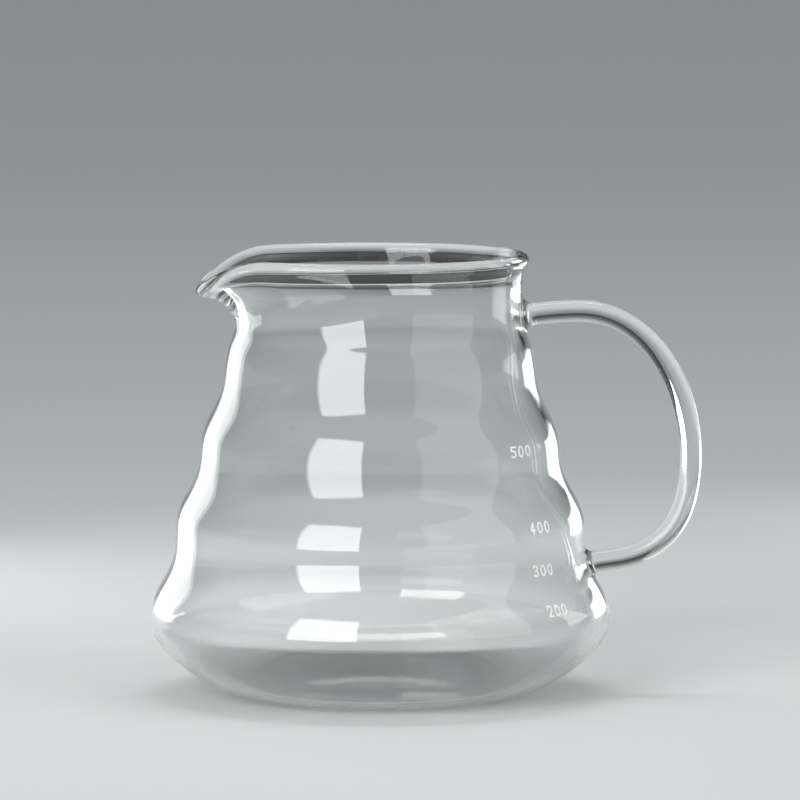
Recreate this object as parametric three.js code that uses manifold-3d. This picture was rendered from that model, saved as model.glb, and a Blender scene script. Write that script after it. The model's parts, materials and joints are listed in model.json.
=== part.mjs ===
// A clear glass coffee server: a blown body with three moulded waves and a pulled spout,
// a solid glass rod fused to it as the handle, and a volume scale fired on the wall in white enamel.
// Millimetres, +Z up. The origin is the centre of the flat foot, the handle is towards +X,
// the spout towards -X, and the scale faces -Y and +X.

import * as THREE from "three";
import { mergeVertices } from "three/addons/utils/BufferGeometryUtils.js";
import { TessellateModifier } from "three/addons/modifiers/TessellateModifier.js";
import Module from "manifold-3d";

// Body: outside sizes, stacked from the foot upwards.
const FOOT_RADIUS = 33.9;
const FOOT_TURN = 9.2; // how far the foot's flat direction leads into the bowl
const BULGE_RADIUS = 59;
const BULGE_HEIGHT = 18.2;
const BULGE_TURN = 6.7; // how far the upright direction at the bulge leads down into the bowl
const WAVE_COUNT = 3;
const WAVE_PITCH = 21.84; // rise of one wave
const WAVE_DROP = 6.37; // radius lost over one wave
const WAVE_SWELL = 1.07; // height of the lowest wave about the slope
const WAVE_FADE = 0.146; // swell lost from one wave to the next
const MIDDLE_FILL = 0.6; // how much fuller the middle wave stands
const SHOULDER_RISE = 17;
const SHOULDER_TURN = 10.2; // how far the last wave's direction and the neck's lead into the shoulder
const NECK_RADIUS = 36.55;
const NECK_RISE = 3.8;
const LIP_RISE = 8.7; // neck to the top of the rim
const RIM_BEAD_RADIUS = 1.85;
const RIM_TUCK_ANGLE = 30; // degrees below level where the lip runs into the rim bead
const WALL = 2;

// Spout: the upper wall bent outwards and down while hot, most at the middle of the spout.
const SPOUT_DEPTH = 18.8; // from the rim bead's centre down to where the bend starts
const SPOUT_REACH = 9; // how far the rim bead is carried outwards
const SPOUT_RISE = 11.1; // height of the rim bead above the start of the bend at the tip
const SPOUT_PULL_SPAN = 100; // degrees each side of the tip that are carried outwards
const SPOUT_DROOP_SPAN = 47; // degrees each side of the tip that sink

// Handle: a round rod on a centre line in the XZ plane.
const ROD_RADIUS = 2.8;
const TOP_ROOT_BELOW_RIM = 16.3;
const CROWN_RISE = 1.5; // above the top root
const CROWN_OUT = 14.4; // from the wall at the top root
const HANDLE_STANDOFF = 20.8; // centre line beyond the bulge
const HANDLE_BELLY_DROP = 37.6; // from the crown down to the outermost point
const CROWN_TURN = 17.1;
const BELLY_UPPER_TURN = 20;
const BELLY_LOWER_TURN = 15.6;
const HEEL_TURN = 13.6;
const LOW_ROOT_HEIGHT = 33.5;
const LOW_STRAIGHT = 6.5; // straight run from the low root to the heel
const LOW_SLOPE = 8; // degrees, rising outwards
const TOP_FLARE = 3.1; // fillet where the rod melts into the wall
const LOW_FLARE = 1.7;
const FUSE_GAP = 0.3; // clearance between the rod's roots and the wall

// Print: numerals on the wall, each a thin patch of enamel.
const PRINT_MARKS = [
  { volume: "500", height: 65.1 },
  { volume: "400", height: 46.2 },
  { volume: "300", height: 35.4 },
  { volume: "200", height: 25.6 },
];
const PRINT_AZIMUTH = 51; // degrees from -Y towards +X
const DIGIT_HEIGHT = 3;
const DIGIT_WIDTH = 2.1;
const DIGIT_PITCH = 2.9;
const DIGIT_STROKE = 0.5;
const TWO_BOWL = 0.55; // height of the 2's bowl, as a share of half a numeral's height
const THREE_WAIST = 0.1; // of half the height, above the middle
const FOUR_STEM = 0.45; // of half the width, right of the middle
const FOUR_BAR = 0.4; // of half the height, below the middle
const FIVE_WAIST = 0.2; // of half the height, above the middle
const HOOK_END = 144; // degrees from the right where the open hooks of a 3 or a 5 end
const PRINT_THICKNESS = 0.2;
const PRINT_GAP = 0.15; // clearance between the enamel and the wall

// Fineness of the faceted surfaces.
const BODY_SIDES = 56;
const BOWL_STEPS = 7;
const STEPS_PER_WAVE = 6;
const SHOULDER_STEPS = 4;
const LIP_STEPS = 3;
const BEAD_STEPS = 7;
const ROD_SIDES = 16;
const ROD_STEPS = 44;
const FLARE_STEPS = 4;
const DIGIT_EDGE = 0.9; // longest edge of a numeral, so that it follows the curved wall
const DIGIT_REFINEMENTS = 6;
const DIGIT_CURVE_STEPS = 6;
const OVAL_STEPS = 10;
const CAP_STEPS = 4;

const WAVES_TOP = BULGE_HEIGHT + WAVE_COUNT * WAVE_PITCH;
const NECK_BASE = WAVES_TOP + SHOULDER_RISE;
const NECK_TOP = NECK_BASE + NECK_RISE;
const HEIGHT = NECK_TOP + LIP_RISE;
const BEAD_CENTRE = new THREE.Vector2(NECK_RADIUS - WALL + RIM_BEAD_RADIUS, HEIGHT - RIM_BEAD_RADIUS);
const radians = THREE.MathUtils.degToRad;

const glass = () => new THREE.MeshStandardMaterial({
  color: 0xeef4f3, roughness: 0.04, metalness: 0, transparent: true, opacity: 0.35,
});
const enamel = () => new THREE.MeshStandardMaterial({ color: 0xf4f4f0, roughness: 0.45, metalness: 0 });

const wasm = await Module();
wasm.setup();

// A closed geometry as a solid that can be cut.
function toSolid(geometry) {
  const bare = geometry.clone();
  bare.deleteAttribute("normal");
  bare.deleteAttribute("uv");
  const merged = mergeVertices(bare);
  return new wasm.Manifold(new wasm.Mesh({
    numProp: 3,
    vertProperties: merged.getAttribute("position").array,
    triVerts: new Uint32Array(merged.getIndex().array),
  }));
}

function toGeometry(solid) {
  const mesh = solid.getMesh();
  const geometry = new THREE.BufferGeometry();
  geometry.setAttribute("position", new THREE.BufferAttribute(mesh.vertProperties, 3));
  geometry.setIndex(new THREE.BufferAttribute(mesh.triVerts, 1));
  geometry.computeVertexNormals();
  return geometry;
}

// Moves every vertex of a geometry to the place that a function gives for it.
function reshape(geometry, place) {
  const position = geometry.getAttribute("position");
  const point = new THREE.Vector3();
  for (let i = 0; i < position.count; i++) {
    point.fromBufferAttribute(position, i);
    const moved = place(point);
    position.setXYZ(i, moved.x, moved.y, moved.z);
  }
  geometry.computeVertexNormals();
  return geometry;
}

// Turns a profile of radius and height about the Z axis.
function turned(profile, sides) {
  return new THREE.LatheGeometry(profile, sides).rotateX(Math.PI / 2);
}

// The wall's outside radius after a number of waves above the bulge.
function waveRadius(waves) {
  const swell = WAVE_SWELL - WAVE_FADE * waves;
  const fill = waves > 1 && waves < 2 ? MIDDLE_FILL * Math.sin(Math.PI * waves) ** 2 : 0;
  return BULGE_RADIUS - WAVE_DROP * waves + swell * Math.sin(2 * Math.PI * waves) + fill;
}

// Outside of the body from the centre of the foot to the top of the neck.
function outsideWall() {
  const bowl = new THREE.CubicBezierCurve(
    new THREE.Vector2(FOOT_RADIUS, 0),
    new THREE.Vector2(FOOT_RADIUS + FOOT_TURN, 0),
    new THREE.Vector2(BULGE_RADIUS, BULGE_HEIGHT - BULGE_TURN),
    new THREE.Vector2(BULGE_RADIUS, BULGE_HEIGHT),
  );
  const waves = [];
  for (let step = 1; step <= WAVE_COUNT * STEPS_PER_WAVE; step++) {
    const count = step / STEPS_PER_WAVE;
    waves.push(new THREE.Vector2(waveRadius(count), BULGE_HEIGHT + count * WAVE_PITCH));
  }
  const top = waves.at(-1);
  const topSwell = WAVE_SWELL - WAVE_FADE * WAVE_COUNT;
  const topSlope = (2 * Math.PI * topSwell - WAVE_DROP) / WAVE_PITCH;
  const shoulder = new THREE.CubicBezierCurve(
    top,
    new THREE.Vector2(top.x + SHOULDER_TURN * topSlope, top.y + SHOULDER_TURN),
    new THREE.Vector2(NECK_RADIUS, NECK_BASE - SHOULDER_TURN),
    new THREE.Vector2(NECK_RADIUS, NECK_BASE),
  );
  return [
    new THREE.Vector2(0, 0),
    ...bowl.getPoints(BOWL_STEPS),
    ...waves,
    ...shoulder.getPoints(SHOULDER_STEPS).slice(1),
    new THREE.Vector2(NECK_RADIUS, NECK_TOP),
  ];
}

// The lip curves out of the neck and runs into the round rim bead, which ends flush with the inside.
function lipAndBead() {
  const tuck = radians(RIM_TUCK_ANGLE);
  const meets = new THREE.Vector2(
    BEAD_CENTRE.x + RIM_BEAD_RADIUS * Math.cos(tuck),
    BEAD_CENTRE.y - RIM_BEAD_RADIUS * Math.sin(tuck),
  );
  const lead = (meets.y - NECK_TOP) / 3;
  const lip = new THREE.CubicBezierCurve(
    new THREE.Vector2(NECK_RADIUS, NECK_TOP),
    new THREE.Vector2(NECK_RADIUS, NECK_TOP + lead),
    new THREE.Vector2(meets.x - lead * Math.tan(tuck), meets.y - lead),
    meets,
  );
  const bead = new THREE.EllipseCurve(
    BEAD_CENTRE.x, BEAD_CENTRE.y, RIM_BEAD_RADIUS, RIM_BEAD_RADIUS, -tuck, Math.PI,
  );
  return [...lip.getPoints(LIP_STEPS).slice(1), ...bead.getPoints(BEAD_STEPS).slice(1)];
}

// A profile moved sideways off itself: inwards for a positive distance, outwards for a negative one.
function offsetProfile(points, distance) {
  return points.map((point, i) => {
    const before = points[Math.max(i - 1, 0)];
    const after = points[Math.min(i + 1, points.length - 1)];
    const along = after.clone().sub(before).normalize();
    return new THREE.Vector2(point.x - along.y * distance, point.y + along.x * distance);
  });
}

const OUTSIDE = outsideWall();

// Radius of the faceted outside wall at a height between the bulge and the neck.
function wallRadius(height) {
  const above = OUTSIDE.findIndex((point, i) => i > 1 && point.y >= height);
  const low = OUTSIDE[above - 1];
  const high = OUTSIDE[above];
  return THREE.MathUtils.mapLinear(height, low.y, high.y, low.x, high.x);
}

// Share of the spout's bend at an angle from its tip, easing from 1 at the tip to 0 at the end of its span.
function spoutShare(fromTip, halfSpan) {
  return Math.cos(Math.min(Math.abs(fromTip) / radians(halfSpan), 1) * Math.PI / 2) ** 2;
}

// Bends the upper wall outwards about a quarter ellipse, fully at the tip and less to each side.
// Under the tip the glass fills out to the underside of the rim bead.
function pullSpout(point) {
  const start = BEAD_CENTRE.y - SPOUT_DEPTH;
  const fromTip = Math.atan2(point.y, -point.x);
  const pull = spoutShare(fromTip, SPOUT_PULL_SPAN);
  const droop = spoutShare(fromTip, SPOUT_DROOP_SPAN);
  if (point.z <= start || pull === 0) return point;
  const upTo = Math.min(point.z, BEAD_CENTRE.y);
  const beyond = point.z - upTo;
  const along = (upTo - start) / SPOUT_DEPTH;
  const turn = along * Math.PI / 2;
  const turnRate = Math.PI / 2 / SPOUT_DEPTH;
  const tilt = Math.atan2(
    pull * SPOUT_REACH * turnRate * Math.sin(turn),
    1 - droop + droop * SPOUT_RISE * turnRate * Math.cos(turn),
  );
  const offset = Math.hypot(point.x, point.y) - BEAD_CENTRE.x;
  const underside = offset > 0 && beyond === 0;
  const side = underside ? THREE.MathUtils.lerp(offset, RIM_BEAD_RADIUS, droop * along) : offset;
  const bentOut = pull * SPOUT_REACH * (1 - Math.cos(turn));
  const bentHeight = (1 - droop) * upTo + droop * (start + SPOUT_RISE * Math.sin(turn));
  const radius = BEAD_CENTRE.x + bentOut + beyond * Math.sin(tilt) + side * Math.cos(tilt);
  const height = bentHeight + beyond * Math.cos(tilt) - side * Math.sin(tilt);
  return new THREE.Vector3(-radius * Math.cos(fromTip), radius * Math.sin(fromTip), height);
}

function makeBody() {
  const inside = offsetProfile(OUTSIDE, WALL).reverse();
  const shell = turned([...OUTSIDE, ...lipAndBead(), ...inside], BODY_SIDES);
  return reshape(shell, pullSpout);
}

// The body's whole outer form, filled and grown by the gap that the handle's roots keep.
function bodyClearance() {
  const outline = [...OUTSIDE, ...lipAndBead()];
  const grown = offsetProfile(outline, -FUSE_GAP);
  const top = grown.at(-1).y;
  return toSolid(turned([...grown, new THREE.Vector2(0, top)], BODY_SIDES));
}

// Centre line of the handle from inside the wall at the top root to inside the wall at the low root.
function handleLine() {
  const at = (x, z) => new THREE.Vector3(x, 0, z);
  const topHeight = HEIGHT - TOP_ROOT_BELOW_RIM;
  const topWall = wallRadius(topHeight);
  const crown = at(topWall + CROWN_OUT, topHeight + CROWN_RISE);
  const belly = at(BULGE_RADIUS + HANDLE_STANDOFF, crown.z - HANDLE_BELLY_DROP);
  const slope = radians(LOW_SLOPE);
  const outwards = at(Math.cos(slope), Math.sin(slope));
  const lowRoot = at(wallRadius(LOW_ROOT_HEIGHT), LOW_ROOT_HEIGHT);
  const heel = lowRoot.clone().addScaledVector(outwards, LOW_STRAIGHT);
  const heelLead = heel.clone().addScaledVector(outwards, HEEL_TURN);
  const lowEnd = lowRoot.clone().addScaledVector(outwards, -WALL);
  const line = new THREE.CurvePath();
  line.add(new THREE.QuadraticBezierCurve3(
    at(topWall - WALL, topHeight), at(topWall + CROWN_OUT / 2, crown.z), crown,
  ));
  line.add(new THREE.CubicBezierCurve3(
    crown, at(crown.x + CROWN_TURN, crown.z), at(belly.x, belly.z + BELLY_UPPER_TURN), belly,
  ));
  line.add(new THREE.CubicBezierCurve3(belly, at(belly.x, belly.z - BELLY_LOWER_TURN), heelLead, heel));
  line.add(new THREE.LineCurve3(heel, lowEnd));
  return line;
}

// Radius of the rod at a distance out from the wall, with a round fillet into the wall.
function flaredRadius(distance, flare) {
  const inside = Math.min(Math.max(1 - distance / flare, 0), 1);
  return ROD_RADIUS + flare * (1 - Math.sqrt(1 - inside * inside));
}

// A straight rod with flared ends, bent along the centre line and cut off where it meets the wall.
function makeHandle() {
  const line = handleLine();
  const length = line.getLength();
  const profile = [new THREE.Vector2(0, 0), new THREE.Vector2(ROD_RADIUS + TOP_FLARE, 0)];
  for (let step = 0; step < FLARE_STEPS; step++) {
    const out = TOP_FLARE * step / FLARE_STEPS;
    profile.push(new THREE.Vector2(flaredRadius(out, TOP_FLARE), WALL + out));
  }
  const from = WALL + TOP_FLARE;
  const to = length - WALL - LOW_FLARE;
  for (let step = 0; step <= ROD_STEPS; step++) {
    profile.push(new THREE.Vector2(ROD_RADIUS, THREE.MathUtils.lerp(from, to, step / ROD_STEPS)));
  }
  for (let step = FLARE_STEPS - 1; step >= 0; step--) {
    const out = LOW_FLARE * step / FLARE_STEPS;
    profile.push(new THREE.Vector2(flaredRadius(out, LOW_FLARE), length - WALL - out));
  }
  profile.push(new THREE.Vector2(ROD_RADIUS + LOW_FLARE, length), new THREE.Vector2(0, length));
  const rod = reshape(turned(profile, ROD_SIDES), (point) => {
    const share = THREE.MathUtils.clamp(point.z / length, 0, 1);
    const centre = line.getPointAt(share);
    const along = line.getTangentAt(share);
    return new THREE.Vector3(centre.x + along.z * point.x, point.y, centre.z - along.x * point.x);
  });
  return toGeometry(toSolid(rod).subtract(bodyClearance()));
}

// Outline of a stroke of even width along a line, with round ends: along its right side,
// round the far end, back along its left side and round the near end.
function strokeShape(line) {
  const points = line.getPoints(DIGIT_CURVE_STEPS);
  const last = points.length - 1;
  const beside = (i, turn) => {
    const along = points[Math.min(i + 1, last)].clone().sub(points[Math.max(i - 1, 0)]);
    const sideways = along.setLength(DIGIT_STROKE / 2).rotateAround(new THREE.Vector2(), turn);
    return points[i].clone().add(sideways);
  };
  const right = points.map((_, i) => beside(i, -Math.PI / 2));
  const left = points.map((_, i) => beside(i, Math.PI / 2)).reverse();
  const farEnd = [];
  const nearEnd = [];
  for (let cap = 1; cap < CAP_STEPS; cap++) {
    const turn = Math.PI * cap / CAP_STEPS;
    farEnd.push(beside(last, turn - Math.PI / 2));
    nearEnd.push(beside(0, turn + Math.PI / 2));
  }
  return new THREE.Shape([...right, ...farEnd, ...left, ...nearEnd]);
}

// Half the width and height of a numeral, along the middle of its strokes.
const HALF_WIDE = (DIGIT_WIDTH - DIGIT_STROKE) / 2;
const HALF_TALL = (DIGIT_HEIGHT - DIGIT_STROKE) / 2;

const straight = (...points) => new THREE.Path(points.map(([x, y]) => new THREE.Vector2(x, y)));

function zeroShapes() {
  const half = DIGIT_STROKE / 2;
  const oval = (grow) => new THREE.Path().absellipse(
    0, 0, HALF_WIDE + grow, HALF_TALL + grow, 0, 2 * Math.PI, false, 0,
  );
  const ring = new THREE.Shape(oval(half).getPoints(OVAL_STEPS));
  ring.holes.push(new THREE.Path(oval(-half).getPoints(OVAL_STEPS)));
  return [ring];
}

function twoShapes() {
  const bowl = HALF_TALL * TWO_BOWL;
  const neck = HALF_TALL - bowl;
  const back = new THREE.Path();
  back.moveTo(-HALF_WIDE, neck);
  back.absellipse(0, neck, HALF_WIDE, bowl, Math.PI, 0, true, 0);
  back.quadraticCurveTo(HALF_WIDE, neck / 2 - bowl / 2, -HALF_WIDE, -HALF_TALL);
  return [back, straight([-HALF_WIDE, -HALF_TALL], [HALF_WIDE, -HALF_TALL])].map(strokeShape);
}

function threeShapes() {
  const waist = HALF_TALL * THREE_WAIST;
  const hook = radians(HOOK_END);
  const upper = (HALF_TALL - waist) / 2;
  const lower = (HALF_TALL + waist) / 2;
  return [
    new THREE.Path().absellipse(0, waist + upper, HALF_WIDE, upper, hook, -Math.PI / 2, true, 0),
    new THREE.Path().absellipse(0, waist - lower, HALF_WIDE, lower, Math.PI / 2, -hook, true, 0),
  ].map(strokeShape);
}

function fourShapes() {
  const stem = HALF_WIDE * FOUR_STEM;
  const bar = -HALF_TALL * FOUR_BAR;
  return [
    straight([stem, HALF_TALL], [-HALF_WIDE, bar]),
    straight([-HALF_WIDE, bar], [HALF_WIDE, bar]),
    straight([stem, HALF_TALL], [stem, -HALF_TALL]),
  ].map(strokeShape);
}

function fiveShapes() {
  const waist = HALF_TALL * FIVE_WAIST;
  const tall = (HALF_TALL + waist) / 2;
  const bowl = new THREE.Path();
  bowl.moveTo(-HALF_WIDE, waist);
  bowl.lineTo(0, waist);
  bowl.absellipse(0, waist - tall, HALF_WIDE, tall, Math.PI / 2, -radians(HOOK_END), true, 0);
  return [
    straight([HALF_WIDE, HALF_TALL], [-HALF_WIDE, HALF_TALL]),
    straight([-HALF_WIDE, HALF_TALL], [-HALF_WIDE, waist]),
    bowl,
  ].map(strokeShape);
}

const DIGIT_SHAPES = { 0: zeroShapes, 2: twoShapes, 3: threeShapes, 4: fourShapes, 5: fiveShapes };

// One numeral as a flat patch, wrapped round the wall at its place in the number.
function makeDigit(digit, place, markHeight) {
  const extrusion = { depth: PRINT_THICKNESS, bevelEnabled: false };
  const extrude = (shape) => toSolid(new THREE.ExtrudeGeometry(shape, extrusion));
  const strokes = DIGIT_SHAPES[digit]().map(extrude);
  const flat = toGeometry(strokes.reduce((joined, stroke) => joined.add(stroke)));
  const fine = new TessellateModifier(DIGIT_EDGE, DIGIT_REFINEMENTS).modify(flat);
  return reshape(fine, (point) => {
    const azimuth = radians(PRINT_AZIMUTH) + (place * DIGIT_PITCH + point.x) / wallRadius(markHeight);
    const height = markHeight + point.y;
    const radius = wallRadius(height) + PRINT_GAP + point.z;
    return new THREE.Vector3(radius * Math.sin(azimuth), -radius * Math.cos(azimuth), height);
  });
}

const server = new THREE.Group();

function addPiece(name, geometry, material) {
  const piece = new THREE.Mesh(geometry, material);
  piece.name = name;
  server.add(piece);
}

addPiece("glass_body", makeBody(), glass());
addPiece("glass_handle", makeHandle(), glass());
for (const { volume, height } of PRINT_MARKS) {
  const middle = (volume.length - 1) / 2;
  [...volume].forEach((digit, i) => {
    addPiece(`print_${volume}_${i + 1}`, makeDigit(digit, i - middle, height), enamel());
  });
}

export default server;
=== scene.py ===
# %% [markdown]
# A clear glass coffee server
#
# The server is blown from clear borosilicate glass: a low bulging bowl, three moulded waves, a neck with
# a fire-polished rim, and a spout that was pulled while the rim was hot. A solid glass rod is melted onto
# it as the handle, and a volume scale is fired on in white enamel. The measured model is loaded first,
# because it is the frame that every piece here has to fit.

# %% Load the measured model
import json
import math

import bpy
import numpy as np
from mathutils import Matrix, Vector

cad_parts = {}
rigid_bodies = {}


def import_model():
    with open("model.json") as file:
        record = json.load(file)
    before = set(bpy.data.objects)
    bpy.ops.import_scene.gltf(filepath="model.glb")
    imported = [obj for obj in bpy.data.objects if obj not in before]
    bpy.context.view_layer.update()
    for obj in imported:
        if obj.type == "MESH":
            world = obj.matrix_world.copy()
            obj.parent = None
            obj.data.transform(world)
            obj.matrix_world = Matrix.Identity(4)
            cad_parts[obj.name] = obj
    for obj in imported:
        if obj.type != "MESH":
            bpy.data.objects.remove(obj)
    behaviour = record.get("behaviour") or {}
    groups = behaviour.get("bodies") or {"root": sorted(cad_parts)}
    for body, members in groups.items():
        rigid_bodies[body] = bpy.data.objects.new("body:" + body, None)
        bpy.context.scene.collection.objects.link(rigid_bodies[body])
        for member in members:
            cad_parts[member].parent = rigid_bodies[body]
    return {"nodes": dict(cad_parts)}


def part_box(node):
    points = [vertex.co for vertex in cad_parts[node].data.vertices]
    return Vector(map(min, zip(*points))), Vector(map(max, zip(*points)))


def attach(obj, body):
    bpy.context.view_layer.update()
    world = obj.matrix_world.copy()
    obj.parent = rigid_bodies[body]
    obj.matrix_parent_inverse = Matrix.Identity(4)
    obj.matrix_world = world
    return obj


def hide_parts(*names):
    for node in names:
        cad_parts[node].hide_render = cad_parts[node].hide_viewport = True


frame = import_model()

MM = 0.001
scene = bpy.context.scene
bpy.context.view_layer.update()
print("its nodes:", ", ".join(frame["nodes"]))

# %% [markdown]
# The camera
#
# A long lens far away keeps the server's sides almost parallel, as in a catalogue picture. The lens could
# be found by trial, but it follows from three measures: how far away the camera is, how high it stands,
# and how wide a piece of the world fills the square picture at the server.

# %% Camera
CAMERA_DISTANCE = 1900 * MM
CAMERA_HEIGHT = 259.2 * MM
AIM_HEIGHT = 75.4 * MM
AIM_RIGHT = 5.13 * MM  # the handle draws the picture's middle to the right of the server's axis
VIEW_WIDTH = 205.2 * MM

eye = Vector((AIM_RIGHT, -CAMERA_DISTANCE, CAMERA_HEIGHT))
aim = Vector((AIM_RIGHT, 0, AIM_HEIGHT))
camera = bpy.data.objects.new("camera", bpy.data.cameras.new("camera"))
camera.data.lens = camera.data.sensor_width * (aim - eye).length / VIEW_WIDTH
camera.location = eye
camera.rotation_euler = (aim - eye).to_track_quat("-Z", "Y").to_euler()
scene.collection.objects.link(camera)
scene.camera = camera
scene.view_settings.view_transform = "Standard"
print("lens, mm:", round(camera.data.lens, 1))

# %% [markdown]
# Colours
#
# Colours are written as the sRGB hex values that a paint chart would give. They could be picked by eye in
# the colour wheel, but the renderer counts light, so one function turns each hex value to linear values.
# Clear glass is almost white here: its colour says how little light the glass keeps back.

# %% Colours of the glass
def linear(hex_colour):
    channels = [int(hex_colour[i:i + 2], 16) / 255 for i in (1, 3, 5)]
    light = [c / 12.92 if c <= 0.04045 else ((c + 0.055) / 1.055) ** 2.4 for c in channels]
    return (*light, 1)


GLASS_CLEAR = linear("#FDFEFE")
GLASS_DEEP = linear("#F9FBFA")
print("light through clear and deep glass:", [round(c, 3) for c in (*GLASS_CLEAR[:3], *GLASS_DEEP[:3])])

# %% [markdown]
# Borosilicate glass
#
# Heatproof laboratory glass is colourless, with a trace of cool grey where it is seen edge on. The body
# was blown in a wetted mould while it turned, so its faces are glossy but not optically flat: faint swells
# run round it and make straight reflections waver. Washing leaves the gloss a little uneven. The handle is
# drawn rod, with shorter and rounder swells. A plain glass shader would look cast in one perfect piece, so
# two noises bring in the swells and the wash marks. One small function adds every node, because each node
# only needs its settings and its inputs, and an input is either a number or a link.

# %% Glass
GLASS_IOR = 1.474
WASH_MARK = 9 * MM
WASH_FROM, WASH_FULL = 0.35, 0.75  # the noise stays mostly between these two
WASHED_ROUGHNESS = 0.035


def add(tree, kind, settings=None, inputs=None):
    node = tree.nodes.new(kind)
    for name, value in (settings or {}).items():
        setattr(node, name, value)
    for socket, value in (inputs or {}).items():
        if isinstance(value, bpy.types.NodeSocket):
            tree.links.new(value, node.inputs[socket])
        else:
            node.inputs[socket].default_value = value
    return node


def glass_material(name, swell_width, swell_height, swell_depth):
    material = bpy.data.materials.new(name)
    material.use_nodes = True
    tree = material.node_tree
    shader = tree.nodes["Principled BSDF"]
    shader.inputs["Transmission Weight"].default_value = 1
    shader.inputs["IOR"].default_value = GLASS_IOR
    where = add(tree, "ShaderNodeTexCoord").outputs["Object"]
    swell_place = add(tree, "ShaderNodeMapping", inputs={
        "Vector": where, "Scale": (1 / swell_width, 1 / swell_width, 1 / swell_height),
    })
    swells = add(tree, "ShaderNodeTexNoise", inputs={
        "Vector": swell_place.outputs[0], "Scale": 1, "Detail": 1, "Roughness": 0.4,
    })
    bump = add(tree, "ShaderNodeBump", inputs={
        "Height": swells.outputs[0], "Strength": 1, "Distance": swell_depth,
    })
    tree.links.new(bump.outputs[0], shader.inputs["Normal"])
    washed = add(tree, "ShaderNodeTexNoise", inputs={"Vector": where, "Scale": 1 / WASH_MARK, "Detail": 3})
    gloss = add(tree, "ShaderNodeMapRange", inputs={
        "Value": washed.outputs[0], "From Min": WASH_FROM, "From Max": WASH_FULL,
        "To Min": 0, "To Max": WASHED_ROUGHNESS,
    })
    tree.links.new(gloss.outputs[0], shader.inputs["Roughness"])
    tint = add(tree, "ShaderNodeMix", {"data_type": "RGBA"}, {
        "Factor": swells.outputs[0], "A": GLASS_CLEAR, "B": GLASS_DEEP,
    })
    tree.links.new(tint.outputs["Result"], shader.inputs["Base Color"])
    return material


blown_glass = glass_material(
    "blown_borosilicate_glass", swell_width=40 * MM, swell_height=9 * MM, swell_depth=0.06 * MM,
)
drawn_glass = glass_material(
    "drawn_borosilicate_rod", swell_width=9 * MM, swell_height=9 * MM, swell_depth=0.03 * MM,
)
print("glass finishes:", blown_glass.name, "and", drawn_glass.name)

# %% [markdown]
# Light inside the glass
#
# A solid rod carries light along its length, from one inner reflection to the next, and so does the bead of
# the rim. Blender stops following light after four mirror reflections, which leaves such places black where
# real glass is bright. Stronger lamps would not reach them, so light is followed further instead.

# %% Light inside the glass
LIGHT_BOUNCES = 48

scene.cycles.max_bounces = LIGHT_BOUNCES
scene.cycles.glossy_bounces = LIGHT_BOUNCES
scene.cycles.transmission_bounces = LIGHT_BOUNCES
print("light is followed for", LIGHT_BOUNCES, "bounces")

# %% [markdown]
# Fired enamel
#
# The scale is printed through a fine screen with a paste of ground white glass, then fired until it melts
# on. It is dense white, less glossy than the wall, and keeps the grain of the screen. A flat white would
# look like a sticker, so a cell pattern at the pitch of the screen varies white, gloss and height together.

# %% Enamel
SCREEN_PITCH = 0.16 * MM  # coarser than a real screen, so that it still shows close up
GRAIN_DEPTH = 0.01 * MM
ENAMEL_SMOOTH, ENAMEL_ROUGH = 0.32, 0.5


def enamel_material(name):
    material = bpy.data.materials.new(name)
    material.use_nodes = True
    tree = material.node_tree
    shader = tree.nodes["Principled BSDF"]
    where = add(tree, "ShaderNodeTexCoord").outputs["Object"]
    cells = add(tree, "ShaderNodeTexVoronoi", inputs={"Vector": where, "Scale": 1 / SCREEN_PITCH})
    grain = cells.outputs["Distance"]
    white = add(tree, "ShaderNodeMix", {"data_type": "RGBA"}, {
        "Factor": grain, "A": linear("#FBFBFA"), "B": linear("#EBEDEC"),
    })
    tree.links.new(white.outputs["Result"], shader.inputs["Base Color"])
    gloss = add(tree, "ShaderNodeMapRange", inputs={
        "Value": grain, "To Min": ENAMEL_SMOOTH, "To Max": ENAMEL_ROUGH,
    })
    tree.links.new(gloss.outputs[0], shader.inputs["Roughness"])
    bump = add(tree, "ShaderNodeBump", inputs={"Height": grain, "Distance": GRAIN_DEPTH})
    tree.links.new(bump.outputs[0], shader.inputs["Normal"])
    return material


enamel = enamel_material("fired_white_enamel")
print("print finish:", enamel.name)

# %% [markdown]
# Sizes of the body
#
# A turned shape is fully given by half of its cut-through outline. From the middle of the foot it runs
# round the bowl, up the three waves, in over the shoulder, up the neck and over the rim, then back down
# inside, one wall thickness away. It could be drawn by hand in the curve editor, but a handful of sizes
# sets the whole line, a few for each stretch of it. The first two, the widest radius and the height of the
# rim, come from the measured model, so that this body and the measured one always agree.

# %% Sizes of the body
body_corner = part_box("glass_body")[1]
bulge_radius, rim_height = body_corner.y, body_corner.z
print("bulge radius, mm:", round(bulge_radius / MM, 2), "and rim height, mm:", round(rim_height / MM, 2))

# %% [markdown]
# Foot, bowl and waves
#
# The mould gives the server a flat foot, a round bowl and three soft waves that help the hand to hold it.
# The bowl is one Bezier curve, level at the foot and upright at the bulge. The waves could be drawn as six
# arcs, but a sine that fades upwards on a straight slope has no corners to smooth, and its three waves
# stay alike when a size changes. The middle wave stands a little fuller than the sine.

# %% Foot, bowl and waves
FOOT_RADIUS = 33.9 * MM
FOOT_TURN = 9.2 * MM
BULGE_HEIGHT = 18.2 * MM
BULGE_TURN = 6.7 * MM
WAVE_COUNT = 3
WAVE_PITCH = 21.84 * MM
WAVE_DROP = 6.37 * MM
WAVE_SWELL = 1.07 * MM
WAVE_FADE = 0.146 * MM
MIDDLE_FILL = 0.6 * MM
FOOT_STEPS, BOWL_STEPS, WAVE_STEPS = 6, 24, 22


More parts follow.
